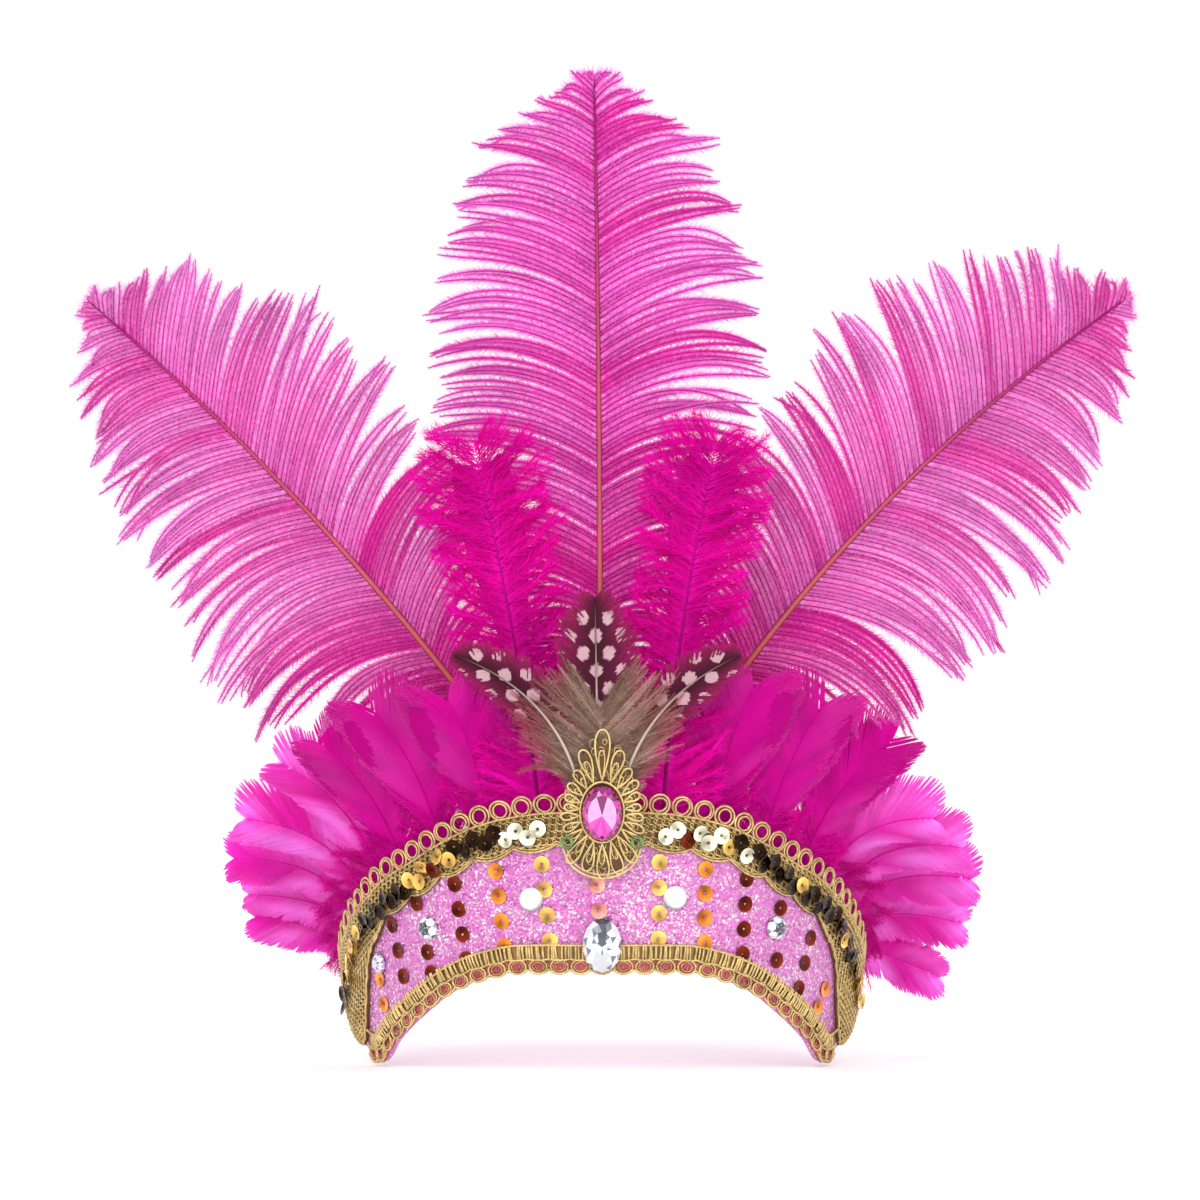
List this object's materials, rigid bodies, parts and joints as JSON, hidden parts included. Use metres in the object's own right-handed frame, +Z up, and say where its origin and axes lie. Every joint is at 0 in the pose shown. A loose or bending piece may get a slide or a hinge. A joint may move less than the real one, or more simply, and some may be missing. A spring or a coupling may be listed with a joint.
{
  "type": "carnival feather headdress",
  "caption": "Carnival headdress: glitter band with gold braid, sequins and stones, a jewelled ornament and a fan of pink feathers, worn across the forehead and held by an elastic",
  "frame": {"origin": "middle of the head opening, level with the band's lower front edge: where a head sits in it", "axes": "+Z up, -Y the way the wearer faces, +X to the wearer's left, which is the viewer's right from the front"},
  "size_m": [0.3522, 0.1986, 0.3293],
  "materials": {
    "glitter_fabric": "pink lilac glitter cloth over a stiff backing",
    "gold_braid": "metallic gold gimp braid",
    "elastic": "ribbed elastic webbing",
    "sequins": "gold, bronze and cream cup sequins",
    "clear_stone": "foil-backed cut stone",
    "white_stone": "foil-backed cut stone",
    "lilac_stone": "foil-backed cut stone",
    "gold_cord": "stiff metallic cord",
    "pink_gem": "foil-backed cut stone",
    "green_bead": "glossy ring bead",
    "ostrich_feather": "dyed ostrich plume",
    "marabou_feather": "dyed marabou down",
    "smooth_feather": "dyed goose feather",
    "spotted_feather": "spotted guinea fowl feather",
    "taupe_down": "fluffy taupe down"
  },
  "bodies": {
    "root": {"band": "glitter_fabric", "upper_braid": "gold_braid", "lower_braid": "gold_braid", "elastic_strap": "elastic", "sequin_string_left": "sequins", "sequin_string_right": "sequins", "centre_stone": "clear_stone", "stone_white_left": "white_stone", "stone_white_right": "white_stone", "stone_clear_left": "clear_stone", "stone_clear_right": "clear_stone", "stone_lilac_left": "lilac_stone", "ornament_filigree": "gold_cord", "ornament_gem": "pink_gem", "green_bead_left": "green_bead", "green_bead_right": "green_bead", "plume_centre": "ostrich_feather", "plume_left": "ostrich_feather", "plume_right": "ostrich_feather", "marabou_left": "marabou_feather", "marabou_right": "marabou_feather", "goose_left_front": "smooth_feather", "goose_left_middle": "smooth_feather", "goose_left_back": "smooth_feather", "goose_right_front": "smooth_feather", "goose_right_middle": "smooth_feather", "goose_right_back": "smooth_feather", "fan_left_a": "smooth_feather", "fan_left_b": "smooth_feather", "fan_left_c": "smooth_feather", "fan_left_d": "smooth_feather", "fan_left_e": "smooth_feather", "fan_right_a": "smooth_feather", "fan_right_b": "smooth_feather", "fan_right_c": "smooth_feather", "fan_right_d": "smooth_feather", "fan_right_e": "smooth_feather", "guinea_left": "spotted_feather", "guinea_right": "spotted_feather", "guinea_centre": "spotted_feather", "guinea_down": "taupe_down"}
  },
  "joints": []
}
